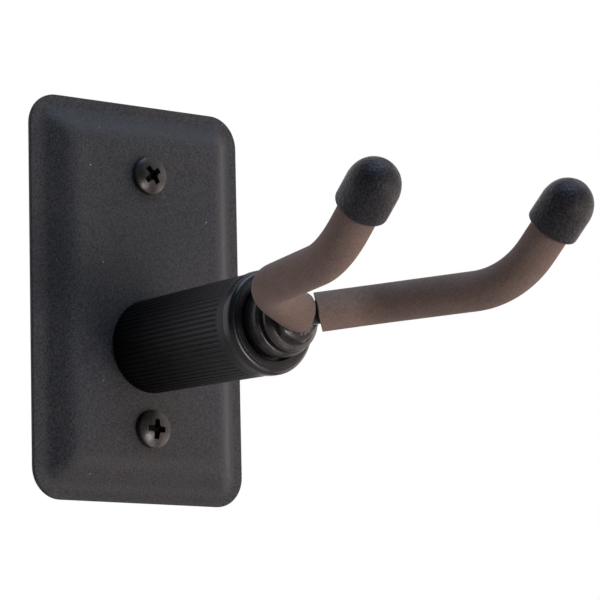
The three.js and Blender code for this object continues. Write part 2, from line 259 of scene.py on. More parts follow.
CAP_RADIUS = 7.1
CAP_BORE = 5.7
CAP_MOUTH = -6.1
CAP_CAVITY = 5.9
CAP_DOME_START = 1.7
CAP_BULGE = (6.6, 6.95)
CAP_TIP = 8.7
CAP_TIP_FLAT = 2.1
CAP_LIP = 1.15
CAP_MOUTH_EDGE = 0.25
CAP_CAVITY_ROUND = 2.2

# How finely shapes are drawn: counts round a circle, angles in degrees and lengths in millimetres.

ROUND = 96
SMALL_ROUND = 48
SHEATH_ROUND = 64
CAP_ROUND = 72
ROD_ROUND = 40
WELD_ROUND = 144
SHANK_ROUND = 28
SHARP_ANGLE = 35
PLATE_SHARP_ANGLE = 40
FINE_SHARP_ANGLE = 50
BEND_STEP = 0.9
STRAIGHT_STEP = 1.2
CUT_OVERRUN = 1.0
MERGE_DISTANCE = 2e-4
SLIVER = 1e-5


# Mesh building.

def to_row(point, height):
    """A (across, forward, height) point in millimetres, as a point in the row frame."""
    return Vector((point[0], -point[1], point[2] + height)) * MM


def build(name, points, faces, height=0.0, sharp_angle=SHARP_ANGLE):
    """A mesh object from points about the swivel axis, or about another height from it."""
    mesh = bpy.data.meshes.new(name)
    mesh.from_pydata([to_row(p, AXIS_HEIGHT + height) for p in points], [], faces)
    work = bmesh.new()
    work.from_mesh(mesh)
    bmesh.ops.remove_doubles(work, verts=work.verts, dist=MERGE_DISTANCE * MM)
    bmesh.ops.dissolve_degenerate(work, edges=work.edges, dist=SLIVER * MM)
    bmesh.ops.recalc_face_normals(work, faces=work.faces)
    work.to_mesh(mesh)
    work.free()
    piece = bpy.data.objects.new(name, mesh)
    bpy.context.scene.collection.objects.link(piece)
    soften(piece, sharp_angle)
    return piece


def soften(piece, sharp_angle=SHARP_ANGLE):
    """Smooth shading, with edges sharper than the angle kept crisp."""
    piece.data.shade_smooth()
    piece.data.set_sharp_from_angle(angle=math.radians(sharp_angle))


def loft(rings, looped=False, cap_first=False, cap_last=False):
    """Points and faces of a skin over rings of equal point counts."""
    size = len(rings[0])
    points = [point for ring in rings for point in ring]
    faces = []
    last = len(rings) if looped else len(rings) - 1
    for ring in range(last):
        here = ring * size
        after = ((ring + 1) % len(rings)) * size
        for index in range(size):
            beside = (index + 1) % size
            faces.append((here + index, here + beside, after + beside, after + index))
    if cap_first:
        faces.append(tuple(range(size)))
    if cap_last:
        faces.append(tuple(range(len(points) - size, len(points))))
    return points, faces


def bend(previous, corner, following, radius, steps):
    """Points of an arc that rounds a corner, in a plane or in space."""
    before = (previous - corner).normalized()
    after = (following - corner).normalized()
    half = before.angle(after) / 2
    centre = corner + (before + after).normalized() * (radius / math.sin(half))
    start = (corner + before * (radius / math.tan(half)) - centre).normalized()
    end = (corner + after * (radius / math.tan(half)) - centre).normalized()
    return [centre + start.slerp(end, step / steps) * radius for step in range(steps + 1)]


def rounded(corners, closed=False, steps=6):
    """Points of a line through (a, b, fillet radius) corners, with each fillet turned into a fine arc."""
    points = []
    for index, (a, b, radius) in enumerate(corners):
        corner = Vector((a, b))
        at_end = not closed and index in (0, len(corners) - 1)
        if radius == 0 or at_end:
            points.append(corner)
            continue
        previous = Vector(corners[index - 1][:2])
        following = Vector(corners[(index + 1) % len(corners)][:2])
        points += bend(previous, corner, following, radius, steps)
    return points


def circle(radius, forward, segments=ROUND):
    angles = [2 * math.pi * index / segments for index in range(segments)]
    return [(radius * math.cos(a), forward, radius * math.sin(a)) for a in angles]


def revolve(name, profile, segments=ROUND, height=0.0, closed=False):
    """A (radius, forward) profile turned about the forward axis. A closed one makes a ring."""
    rings = [circle(radius, forward, segments) for radius, forward in profile]
    points, faces = loft(rings, looped=closed)
    return build(name, points, faces, height)


def washer(name, outer, inner, back, front, edge):
    """A flat ring with rounded outer edges and crisp inner ones."""
    corners = [
        (inner, back, 0),
        (outer, back, edge),
        (outer, front, edge),
        (inner, front, 0),
    ]
    return revolve(name, rounded(corners, closed=True), closed=True)


def prism(name, outline, back, front):
    """An (across, height) outline drawn out between two distances from the wall."""
    rings = [[(across, forward, up) for across, up in outline] for forward in (back, front)]
    points, faces = loft(rings, cap_first=True, cap_last=True)
    return build(name, points, faces)


def apply_modifiers(piece):
    """Turns a piece's modifiers into plain mesh."""
    graph = bpy.context.evaluated_depsgraph_get()
    result = bpy.data.meshes.new_from_object(piece.evaluated_get(graph))
    piece.modifiers.clear()
    piece.data = result
    soften(piece)


def combine(piece, other, operation):
    """A boolean of piece with other, which is used up."""
    modifier = piece.modifiers.new("combine", "BOOLEAN")
    modifier.operation = operation
    modifier.solver = "EXACT"
    modifier.object = other
    apply_modifiers(piece)
    bpy.data.objects.remove(other)


def bevel_edges(piece, width):
    """Rounds a piece's crisp edges by a width."""
    modifier = piece.modifiers.new("round", "BEVEL")
    modifier.width = width * MM
    modifier.segments = 3
    modifier.limit_method = "ANGLE"
    modifier.angle_limit = math.radians(SHARP_ANGLE)
    apply_modifiers(piece)


def dress(piece, material, body, *nodes):
    """Gives a piece its finish, sets it riding on its body, and hides the CAD nodes it stands for."""
    piece.data.materials.clear()
    piece.data.materials.append(material)
    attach(piece, body)
    if nodes:
        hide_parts(*nodes)


# Node materials. Pattern sizes are in millimetres.

class Finish:
    """A procedural material under construction."""

    def __init__(self, name, slot):
        self.material = bpy.data.materials.new(name)
        self.material["slot"] = slot
        self.material.use_nodes = True
        self.tree = self.material.node_tree
        self.surface = self.tree.nodes["Principled BSDF"]
        self.place = self.add("ShaderNodeTexCoord").outputs["Object"]

    def add(self, kind, **settings):
        node = self.tree.nodes.new(kind)
        for name, value in settings.items():
            setattr(node, name, value)
        return node

    def join(self, source, target):
        self.tree.links.new(source, target)

    def noise(self, size, detail=2.0, rough=0.5):
        node = self.add("ShaderNodeTexNoise")
        node.inputs["Scale"].default_value = 1 / (size * MM)
        node.inputs["Detail"].default_value = detail
        node.inputs["Roughness"].default_value = rough
        self.join(self.place, node.inputs["Vector"])
        return node.outputs["Fac"]

    def pebbles(self, size):
        node = self.add("ShaderNodeTexVoronoi", feature="SMOOTH_F1")
        node.inputs["Scale"].default_value = 1 / (size * MM)
        node.inputs["Smoothness"].default_value = 0.6
        self.join(self.place, node.inputs["Vector"])
        return node.outputs["Distance"]

    def span(self, source, low, high, to_low, to_high):
        """A value stretched from one span to another, held at its ends."""
        node = self.add("ShaderNodeMapRange")
        for name, value in zip(("From Min", "From Max", "To Min", "To Max"), (low, high, to_low, to_high)):
            node.inputs[name].default_value = value
        self.join(source, node.inputs["Value"])
        return node.outputs["Result"]

    def forward_span(self, back, front, to_back, to_front):
        """A value that runs from one to another between two distances from the wall."""
        split = self.add("ShaderNodeSeparateXYZ")
        self.join(self.place, split.inputs[0])
        return self.span(split.outputs["Y"], -front * MM, -back * MM, to_front, to_back)

    def colours(self, factor, *stops):
        """A colour picked by factor from (place, colour) stops."""
        node = self.add("ShaderNodeValToRGB")
        ramp = node.color_ramp.elements
        while len(ramp) < len(stops):
            ramp.new(0.5)
        for element, (place, colour) in zip(ramp, stops):
            element.position = place
            element.color = (*colour, 1)
        self.join(factor, node.inputs["Fac"])
        return node.outputs["Color"]

    def mix(self, factor, first, second):
        node = self.add("ShaderNodeMix", data_type="RGBA")
        self.join(factor, node.inputs[0])
        for source, target in ((first, node.inputs[6]), (second, node.inputs[7])):
            if isinstance(source, tuple):
                target.default_value = (*source, 1)
            else:
                self.join(source, target)
        return node.outputs[2]

    def relief(self, height, depth, strength=1.0, under=None):
        """A bump of the given depth, over an earlier bump if there is one."""
        node = self.add("ShaderNodeBump")
        node.inputs["Distance"].default_value = depth * MM
        node.inputs["Strength"].default_value = strength
        self.join(height, node.inputs["Height"])
        if under is not None:
            self.join(under, node.inputs["Normal"])
        return node.outputs["Normal"]

    def finish(self, colour, roughness, normal, metallic=0.0, specular=0.5):
        for source, name in ((colour, "Base Color"), (roughness, "Roughness"), (normal, "Normal")):
            self.join(source, self.surface.inputs[name])
        self.surface.inputs["Metallic"].default_value = metallic
        self.surface.inputs["Specular IOR Level"].default_value = specular
        return self.material


def powder_coat():
    """Charcoal textured powder coat with a fine pebble grain and a few specks of dust."""
    look = Finish("powder_coat_charcoal", "powder_coat")
    patches = look.noise(14, 3)
    grain = look.noise(0.5, 3, 0.7)
    dark = look.colours(grain, (0.34, (0.008, 0.008, 0.009)), (0.66, (0.072, 0.07, 0.075)))
    cool = look.colours(grain, (0.34, (0.007, 0.008, 0.01)), (0.66, (0.062, 0.065, 0.074)))
    body = look.mix(look.span(patches, 0.35, 0.65, 0, 1), dark, cool)
    dust = look.span(look.noise(1.6, 1), 0.8, 0.83, 0, 0.8)
    colour = look.mix(dust, body, (0.4, 0.4, 0.38))
    roughness = look.span(grain, 0.3, 0.7, 0.52, 0.74)
    swell = look.relief(look.noise(9, 1), 0.12, 0.35)
    pebble = look.relief(look.pebbles(0.7), 0.09, 0.9, swell)
    normal = look.relief(grain, 0.08, 0.9, pebble)
    return look.finish(colour, roughness, normal, specular=0.42)


def black_steel():
    """Satin black oxide over steel, a little worn and uneven."""
    look = Finish("black_oxide_steel", "black_steel")
    patches = look.noise(3.5, 4)
    scuffs = look.noise(0.5, 3, 0.7)
    colour = look.colours(patches, (0.3, (0.02, 0.019, 0.019)), (0.75, (0.066, 0.062, 0.06)))
    roughness = look.span(scuffs, 0.3, 0.7, 0.19, 0.34)
    swell = look.relief(look.noise(2.2, 1), 0.05, 0.3)
    normal = look.relief(scuffs, 0.015, 0.5, swell)
    return look.finish(colour, roughness, normal, metallic=0.35, specular=0.5)


def recess_shade_finish():
    """The inside of a screw's cross recess, near black and dull as painted shade in the recess."""
    look = Finish("recess_painted_shade", "black_steel")
    patches = look.noise(0.8, 3)
    # Painted shade: these colours are far darker than the head's, for the shade inside the recess.
    colour = look.colours(patches, (0.3, (0.002, 0.002, 0.002)), (0.7, (0.007, 0.006, 0.005)))
    roughness = look.span(patches, 0.3, 0.7, 0.6, 0.8)
    normal = look.relief(patches, 0.02, 0.5)
    return look.finish(colour, roughness, normal, specular=0.12)


def plain_steel():
    """Zinc plated steel."""
    look = Finish("zinc_plated_steel", "plain_steel")
    patches = look.noise(2.8, 4)
    scratches = look.noise(0.25, 4, 0.7)
    colour = look.colours(patches, (0.25, (0.36, 0.35, 0.33)), (0.75, (0.5, 0.49, 0.46)))
    roughness = look.span(scratches, 0.3, 0.7, 0.3, 0.5)
    normal = look.relief(scratches, 0.01, 0.5)
    return look.finish(colour, roughness, normal, metallic=1.0)


def sleeve_plastic():
    """Near-black moulded plastic, with its reflection turned down near the plate as painted shade."""
    look = Finish("sleeve_black_plastic", "post_plastic")
    patches = look.noise(6, 3)
    grain = look.noise(0.35, 3, 0.6)
    colour = look.colours(patches, (0.3, (0.005, 0.005, 0.006)), (0.7, (0.01, 0.01, 0.011)))
    roughness = look.span(grain, 0.3, 0.7, 0.44, 0.58)
    normal = look.relief(grain, 0.02, 0.5)
    # Painted shade: the reflection is nearly off at the plate, for the plate's shade, and rises towards the
    # front.
    painted_plate_shade = look.forward_span(PAN_FRONT, SLEEVE_FRONT, 0.02, 0.56)
    look.join(painted_plate_shade, look.surface.inputs["Specular IOR Level"])
    return look.finish(colour, roughness, normal)


def collar_plastic():
    """The collar's smoother plastic, which takes more of the light on its turned edges."""
    look = Finish("collar_black_plastic", "post_plastic")
    patches = look.noise(4, 3)
    grain = look.noise(0.3, 2)
    colour = look.colours(patches, (0.3, (0.008, 0.008, 0.01)), (0.7, (0.014, 0.014, 0.016)))
    roughness = look.span(patches, 0.3, 0.7, 0.22, 0.31)
    normal = look.relief(grain, 0.008, 0.5)
    return look.finish(colour, roughness, normal, specular=0.5)


def nylon():
    look = Finish("bushing_nylon", "nylon")
    patches = look.noise(2, 2)
    colour = look.colours(patches, (0.3, (0.007, 0.007, 0.008)), (0.7, (0.013, 0.013, 0.013)))
    roughness = look.span(patches, 0.3, 0.7, 0.45, 0.6)
    normal = look.relief(look.noise(0.4, 2), 0.01, 0.5)
    return look.finish(colour, roughness, normal)


def sheath_rubber():
    """Matte brown-grey rubber tube, faintly mottled, with a fine dusty grain."""
    look = Finish("sheath_brown_rubber", "sheath_rubber")
    clouds = look.noise(7, 4, 0.55)
    grain = look.noise(0.5, 3, 0.7)
    warm = look.colours(clouds, (0.3, (0.132, 0.094, 0.077)), (0.7, (0.176, 0.125, 0.103)))
    shade = look.span(grain, 0.36, 0.64, 0, 0.62)
    colour = look.mix(shade, warm, (0.275, 0.2, 0.166))
    roughness = look.span(grain, 0.3, 0.7, 0.78, 0.92)
    swell = look.relief(look.noise(5, 1), 0.1, 0.3)
    normal = look.relief(grain, 0.05, 0.8, swell)
    return look.finish(colour, roughness, normal, specular=0.3)


def cap_rubber():
    """Black rubber with a coarse pitted skin."""
    look = Finish("cap_black_rubber", "cap_rubber")
    clouds = look.noise(5, 3)
    pits = look.noise(0.62, 4, 0.7)
    colour = look.colours(pits, (0.38, (0.002, 0.002, 0.003)), (0.66, (0.038, 0.036, 0.042)))
    roughness = look.span(clouds, 0.3, 0.7, 0.4, 0.52)
    pebble = look.relief(look.pebbles(0.8), 0.14, 1.0)
    normal = look.relief(pits, 0.12, 1.0, pebble)
    return look.finish(colour, roughness, normal, specular=0.32)


POWDER_COAT = powder_coat()
BLACK_STEEL = black_steel()
RECESS_SHADE = recess_shade_finish()
PLAIN_STEEL = plain_steel()
SLEEVE_PLASTIC = sleeve_plastic()
COLLAR_PLASTIC = collar_plastic()
NYLON = nylon()
SHEATH_RUBBER = sheath_rubber()
CAP_RUBBER = cap_rubber()


# Back plate: pressed sheet with a flat rim, sloping sides with soft bends, and a flat pan.

def corner_radius(inset):
    """The plan radius of the plate's corners, which tightens inward until it meets the pan's own."""
    return max(PLATE_CORNER - inset, PAN_CORNER)


def rectangle_ring(inset, forward):
    """The plate's outline drawn in by an inset, with heights from the plate's middle."""
    steps = 12
    half_width = PLATE_WIDTH / 2 - inset
    half_height = PLATE_HEIGHT / 2 - inset
    radius = corner_radius(inset)
    ring = []
    for quarter, (right, up) in enumerate(((1, 1), (-1, 1), (-1, -1), (1, -1))):
        for step in range(steps + 1):
            angle = (quarter + step / steps) * math.pi / 2
            across = right * (half_width - radius) + radius * math.cos(angle)
            height = up * (half_height - radius) + radius * math.sin(angle)
            ring.append((across, forward, height))
    return ring


def plate_profile():
    """The sheet's section, as (inset, forward) points from the middle of its back round to its front."""
    offset = SHEET * math.tan(math.pi / 8)
    foot = RIM_WIDTH
    brow = RIM_WIDTH + BEVEL_RUN
    corners = [
        (brow + PAN_MARGIN, PAN_FRONT - SHEET, 0),
        (brow + offset, PAN_FRONT - SHEET, PAN_FILLET - SHEET),
        (foot + offset, 0, FOOT_FILLET + SHEET),
        (0, 0, SHEET_EDGE),
        (0, SHEET, RIM_EDGE),
        (foot, SHEET, FOOT_FILLET),
        (brow, PAN_FRONT, PAN_FILLET),
        (brow + PAN_MARGIN, PAN_FRONT, 0),
    ]
    return rounded(corners, steps=8)


def plate_holes():
    """Each hole's height from the plate's middle, and its radius."""
    return (
        (middle_height_of("upper_screw") - PLATE_MIDDLE, SCREW_HOLE),
        (middle_height_of("lower_screw") - PLATE_MIDDLE, SCREW_HOLE),
        (-PLATE_MIDDLE, PIVOT_HOLE),
    )


def fill_pan(work, rings):
    """Fills the flat between closed rings of points, the first of which is the outline."""
    edges = []
    for ring in rings:
        corners = [work.verts.new(to_row(point, AXIS_HEIGHT + PLATE_MIDDLE)) for point in ring]
        edges += [work.edges.new((corners[i - 1], corners[i])) for i in range(len(corners))]
    bmesh.ops.triangle_fill(work, use_beauty=True, edges=edges)


def hole_ring(radius, forward, height):
    """A hole's outline, with its height from the plate's middle."""
    return [(across, forward, up + height) for across, forward, up in circle(radius, forward, SMALL_ROUND)]


def plate_sheet():
    """The pressed sheet, with its flat front and back filled round the holes."""
    profile = plate_profile()
    points, faces = loft([rectangle_ring(inset, forward) for inset, forward in profile])
    piece = build("plate_sheet", points, faces, PLATE_MIDDLE, PLATE_SHARP_ANGLE)
    work = bmesh.new()
    work.from_mesh(piece.data)
    for inset, forward in (profile[0], profile[-1]):
        rims = [rectangle_ring(inset, forward)]
        rims += [hole_ring(radius, forward, height) for height, radius in plate_holes()]
        fill_pan(work, rims)
    for height, radius in plate_holes():
        back = hole_ring(radius, profile[0][1], height)
        front = hole_ring(radius, profile[-1][1], height)
        wall_points, wall_faces = loft([back, front])
        corners = [work.verts.new(to_row(p, AXIS_HEIGHT + PLATE_MIDDLE)) for p in wall_points]
        for face in wall_faces:
            work.faces.new([corners[index] for index in face])
    bmesh.ops.remove_doubles(work, verts=work.verts, dist=MERGE_DISTANCE * MM)
    bmesh.ops.recalc_face_normals(work, faces=work.faces)
    work.to_mesh(piece.data)
    work.free()
    soften(piece, PLATE_SHARP_ANGLE)
    dress(piece, POWDER_COAT, WALL_BODY, "back_plate")


# Wall screws: pan heads with a cross recess, and a threaded shank that ends in a point.

def head_profile():
    """The head from its underside out, up its side and over its crown to the middle.

    The shoulder's fillet takes the place of the crown's outermost stretch.
    """
    steps = 14
    crown = []
    for step in range(2, steps + 1):
        share = 1 - step / steps
        crown.append((SCREW_RADIUS * share, crown_forward(share), 0))
    foot = (SCREW_RADIUS, PAN_FRONT, HEAD_FOOT)
    shoulder = (SCREW_RADIUS, PAN_FRONT + HEAD_SIDE, HEAD_SHOULDER)
    return rounded([(0, PAN_FRONT, 0), foot, shoulder, *crown])


def crown_forward(share):
    """How far the head's crown stands from the wall at a share of the head's radius."""
    return SCREW_FRONT - HEAD_CROWN * share ** 2


def cross_outline(scale):
    """A cross of four arms, with fillets where the arms meet."""
    half = RECESS_WIDTH / 2
    corners = []
    for quarter in range(4):
        turn = Matrix.Rotation(quarter * math.pi / 2, 2)
        arm = (
            (RECESS_REACH, -half, RECESS_ARM_EDGE),
            (RECESS_REACH, half, RECESS_ARM_EDGE),
            (half, half, RECESS_HEART),
        )
        for across, up, fillet in arm:
            turned = turn @ Vector((across, up)) * scale
            corners.append((turned.x, turned.y, fillet * scale))
    return rounded(corners, closed=True, steps=4)


def cross_cutter(height):
    """A cross-shaped plug that narrows towards its bottom."""
    rings = []
    ends = ((SCREW_FRONT - RECESS_DEPTH, RECESS_TAPER), (SCREW_FRONT + RECESS_RISE, 1))
    for forward, scale in ends:
        rings.append([(across, forward, up) for across, up in cross_outline(scale)])
    points, faces = loft(rings, cap_first=True, cap_last=True)
    return build("cross_cutter", points, faces, height)


def thread_radius(share, distance, length):
    """The shank's radius at a share of one pitch and a distance from the head."""
    point = min(1.0, (length - distance) / SCREW_POINT)
    start = min(1.0, max(0.0, (distance - SCREW_NECK) / SCREW_PITCH))
    ridge = max(0.0, 1 - abs(share - 0.5) / RIDGE_SHARE)
    root = SCREW_ROOT * point ** 0.7
    body = root + (SCREW_NECK_RADIUS - root) * (1 - start)
    return body + (SCREW_CREST - SCREW_ROOT) * ridge * start * point ** 0.5


def threaded_shank(name, height):
    """A shank whose thread follows its helix: each row of points drops by one pitch round the shank."""
    length = PAN_FRONT - SCREW_BACK
    per_pitch = 8
    rows = int(length / SCREW_PITCH * per_pitch) + 2 * per_pitch
    points = []
    for column in range(SHANK_ROUND):
        angle = 2 * math.pi * column / SHANK_ROUND
        for row in range(rows):
            distance = (row / per_pitch + column / SHANK_ROUND - 1) * SCREW_PITCH
            held = min(max(distance, 0.0), length)
            radius = thread_radius((row % per_pitch) / per_pitch, held, length)
            points.append((radius * math.cos(angle), PAN_FRONT - held, radius * math.sin(angle)))
    faces = []
    for column in range(SHANK_ROUND):
        wraps = column == SHANK_ROUND - 1
        beside = 0 if wraps else (column + 1) * rows
        shift = per_pitch if wraps else 0
        for row in range(rows - 1 - shift):
            here = column * rows + row
            there = beside + row + shift
            faces.append((here, here + 1, there + 1, there))
    piece = build(name, points, faces, height, FINE_SHARP_ANGLE)
    close_holes(piece, FINE_SHARP_ANGLE)
    return piece


def close_holes(piece, sharp_angle):
    """Fills each open edge loop with one face."""
    work = bmesh.new()
    work.from_mesh(piece.data)
    bmesh.ops.holes_fill(work, edges=[edge for edge in work.edges if edge.is_boundary], sides=0)
    bmesh.ops.recalc_face_normals(work, faces=work.faces)
    work.to_mesh(piece.data)
    work.free()
    soften(piece, sharp_angle)


def wall_screw(node, turn):
    """A screw in two pieces. Its recess is turned by some degrees, as the screw was left when tightened."""
    height = middle_height_of(node)
    head = revolve(node + "_head", head_profile(), ROUND, height)
    cutter = cross_cutter(height)
    spin_about(cutter, height, turn)
    combine(head, cutter, "DIFFERENCE")
    dress(head, BLACK_STEEL, WALL_BODY, node)
    paint_recess_shade(head, height)
    shank = threaded_shank(node + "_shank", height)
    dress(shank, BLACK_STEEL, WALL_BODY)


def paint_recess_shade(head, height):
    """Gives the recess's walls and floor the near-black material, as painted shade in the recess."""
    head.data.materials.append(RECESS_SHADE)
    centre = to_row((0, 0, 0), AXIS_HEIGHT + height)
    for face in head.data.polygons:
        place = (face.center - centre) / MM
        forward = -place.y
        reach = math.hypot(place.x, place.z)
        sunk = PAN_FRONT < forward < crown_forward(reach / SCREW_RADIUS) - RECESS_SKIN
        face.material_index = 1 if sunk and reach < RECESS_REACH else 0


def spin_about(piece, height, degrees):
    """Turns a piece about the forward axis at a height."""
    centre = to_row((0, 0, 0), AXIS_HEIGHT + height)
    turn = Matrix.Rotation(math.radians(degrees), 4, "Y")
    piece.data.transform(Matrix.Translation(centre) @ turn @ Matrix.Translation(-centre))


# Post: a tapered plastic sleeve with fine lengthwise ribs and a smooth band, its collar, bushing and washers.

def rib_dip(share):
    """How deep the surface lies at a share of one rib's pitch: a flat crest, then a round groove."""
    if share < 0.5:
        return RIB_CROWN * (1 - math.sin(share * 2 * math.pi))
    return 0.5 - 0.5 * math.cos((share - 0.5) * 4 * math.pi)


def sleeve_radius(forward):
    """The radius over the ribs' crests at a distance from the wall."""
    share = (forward - PAN_FRONT) / (SLEEVE_FRONT - PAN_FRONT)
    return POST_REAR_RADIUS + (POST_FRONT_RADIUS - POST_REAR_RADIUS) * share


def sleeve_ring(forward, inset=0.0):
    """The sleeve's outline at a distance from the wall, whose ribs fade out into the smooth band."""
    fade = min(1.0, max(0.0, (RIB_END - forward) / RIB_FADE))
    depth = RIB_DEPTH * fade * fade * (3 - 2 * fade)
    count = RIB_COUNT * RIB_STATIONS
    ring = []
    for index in range(count):
        angle = 2 * math.pi * index / count
        dip = depth * rib_dip((index % RIB_STATIONS) / RIB_STATIONS)
        radius = sleeve_radius(forward) - dip - inset
        ring.append((radius * math.cos(angle), forward, radius * math.sin(angle)))
    return ring


def post_sleeve():
    rings = [sleeve_ring(PAN_FRONT, POST_REAR_EDGE), sleeve_ring(PAN_FRONT + POST_REAR_EDGE)]
    rings += [sleeve_ring(PAN_FRONT + share * (RIB_END - PAN_FRONT)) for share in (0.25, 0.5, 0.75)]
    fade_steps = 5
    rings += [sleeve_ring(RIB_END - RIB_FADE * (1 - step / fade_steps)) for step in range(fade_steps + 1)]
    edge_steps = 4
    for step in range(edge_steps + 1):
        angle = step / edge_steps * math.pi / 2
        forward = SLEEVE_FRONT - POST_FRONT_EDGE * (1 - math.sin(angle))
        rings.append(sleeve_ring(forward, POST_FRONT_EDGE * (1 - math.cos(angle))))
    rings += [circle(POST_BORE, forward, RIB_COUNT * RIB_STATIONS) for forward in (SLEEVE_FRONT, PAN_FRONT)]
    points, faces = loft(rings, looped=True)
    piece = build("post_sleeve_ribbed", points, faces, sharp_angle=FINE_SHARP_ANGLE)
    dress(piece, SLEEVE_PLASTIC, WALL_BODY, "post_sleeve")


def front_collar():
    """The collar, whose stepped face is hollowed round the bushing."""
    corners = [
        (POST_BORE, COLLAR_BACK, 0),
        (COLLAR_RADIUS, COLLAR_BACK, COLLAR_REAR_EDGE),
        (COLLAR_RADIUS, COLLAR_FRONT - COLLAR_STEP, COLLAR_SHOULDER),
        (COLLAR_FACE, COLLAR_FRONT - COLLAR_STEP, 0),
        (COLLAR_FACE, COLLAR_FRONT, COLLAR_FACE_EDGE),
        (COLLAR_RECESS, COLLAR_FRONT, COLLAR_INNER_EDGE),
        (COLLAR_RECESS, COLLAR_FLOOR, 0),
        (COLLAR_LIP, COLLAR_FLOOR, 0),
        (COLLAR_LIP, CORE_FRONT, 0),
        (POST_BORE, CORE_FRONT, 0),
    ]
    piece = revolve("collar_ring", rounded(corners, closed=True, steps=8), closed=True)
    dress(piece, COLLAR_PLASTIC, WALL_BODY, "front_collar")


def front_bushing():
    """The bushing's barrel inside the core tube, and its flange in front of it."""
    corners = [
        (RUNNING_BORE, BUSH_BACK, 0),
        (BUSH_BARREL, BUSH_BACK, BUSH_BARREL_EDGE),
        (BUSH_BARREL, CORE_FRONT, 0),
        (BUSH_RADIUS, CORE_FRONT, BUSH_REAR_EDGE),
        (BUSH_RADIUS, BUSH_FRONT, BUSH_FRONT_EDGE),
        (RUNNING_BORE, BUSH_FRONT, 0),
    ]
    piece = revolve("bushing_flanged", rounded(corners, closed=True), closed=True)
    dress(piece, NYLON, WALL_BODY, "front_bushing")


def thrust_washer():
    back, front = THRUST_BACK, THRUST_FRONT
    piece = washer("thrust_washer_ring", THRUST_RADIUS, WASHER_BORE, back, front, THRUST_EDGE)
    dress(piece, BLACK_STEEL, WALL_BODY, "thrust_washer")


def rear_washer():
    back, front = REAR_WASHER_BACK, REAR_WASHER_FRONT
    piece = washer("rear_washer_ring", REAR_WASHER_RADIUS, WASHER_BORE, back, front, REAR_WASHER_EDGE)
    dress(piece, PLAIN_STEEL, WALL_BODY, "rear_washer")


# Pivot: the flanged hexagon bolt, its spring washer, and the nut behind the plate.

def hexagon(across_flats, turn):
    radius = across_flats / math.sqrt(3)
    angles = [index * math.pi / 3 - math.radians(turn) for index in range(6)]
    return [(radius * math.cos(a), radius * math.sin(a)) for a in angles]


def spring_washer():
    """A washer dished like a shallow cone, whose outer edge bears on the thrust washer."""
    corners = [
        (WASHER_BORE, SPRING_BACK + SPRING_DISH, 0),
        (SPRING_RADIUS, SPRING_BACK, SPRING_EDGE),
        (SPRING_RADIUS, SPRING_FRONT - SPRING_DISH, SPRING_EDGE),
        (WASHER_BORE, SPRING_FRONT, 0),
    ]
    piece = revolve("spring_washer_dished", rounded(corners, closed=True), closed=True)
    dress(piece, BLACK_STEEL, YOKE_BODY, "spring_washer")


def chamfered_hexagon(name, across_flats, back, front, chamfer, turn=0, both_ends=False):
    """A hexagon whose corners are turned off in a cone at its front, or at both ends."""
    piece = prism(name, hexagon(across_flats, turn), back, front)
    corner = across_flats / math.sqrt(3)
    face = across_flats / 2 - chamfer
    slope = (corner - face) * CHAMFER_SLOPE
    foot = [(0, back - CUT_OVERRUN), (corner + CUT_OVERRUN, back - CUT_OVERRUN)]
    if both_ends:
        foot = [(0, back), (face, back), (corner, back + slope)]
    crown = [(corner, front - slope), (face, front), (0, front)]
    combine(piece, revolve("hexagon_crown", foot + crown), "INTERSECT")
    return piece


def bolt_lathe():
    """The bolt's shank and its flange, which rises in a low cone to the head."""
    corners = [
        (0, BOLT_BACK, 0),
        (SHANK_RADIUS, BOLT_BACK, SHANK_CHAMFER),
        (SHANK_RADIUS, FLANGE_BACK, SHANK_FILLET),
        (FLANGE_RADIUS, FLANGE_BACK, FLANGE_BACK_EDGE),
        (FLANGE_RADIUS, FLANGE_FRONT, FLANGE_FRONT_EDGE),
        (CONE_TOP, FLANGE_FRONT + CONE_HEIGHT, CONE_EDGE),
        (0, FLANGE_FRONT + CONE_HEIGHT, 0),
    ]
    return revolve("pivot_bolt_turned", rounded(corners))


def pivot_bolt():
    turned = bolt_lathe()
    back, front = FLANGE_FRONT, BOLT_FRONT
    head = chamfered_hexagon("pivot_bolt_head", BOLT_FLATS, back, front, BOLT_CHAMFER, BOLT_TURN)
    bevel_edges(head, BOLT_EDGE)
    dress(turned, BLACK_STEEL, YOKE_BODY, "pivot_bolt")
    dress(head, BLACK_STEEL, YOKE_BODY)


def lock_nut():
    back, front = NUT_BACK, NUT_FRONT - RUNNING_GAP
    piece = chamfered_hexagon("lock_nut_body", NUT_FLATS, back, front, NUT_CHAMFER, both_ends=True)
    low, high = NUT_BACK - CUT_OVERRUN, NUT_FRONT + CUT_OVERRUN
    bore = [(0, low), (NUT_BORE, low), (NUT_BORE, high), (0, high)]
    combine(piece, revolve("nut_bore", bore), "DIFFERENCE")
    dress(piece, PLAIN_STEEL, YOKE_BODY, "lock_nut")


# Fork: one bent rod, rubber sheaths over it, a weld at the bolt's head, and caps on its tips.

def rod_end(crook, tip):
    """The rod's end, which runs past a tip's place inside the cap."""
    crook, tip = Vector(crook), Vector(tip)
    return tip + (tip - crook).normalized() * ROD_OVERRUN


def fork_corners():
    middle = [Vector(corner) for corner in (LEFT_CROOK, LEFT_ELBOW, DIP, RIGHT_ELBOW, RIGHT_CROOK)]
    return [rod_end(LEFT_CROOK, LEFT_TIP), *middle, rod_end(RIGHT_CROOK, RIGHT_TIP)]


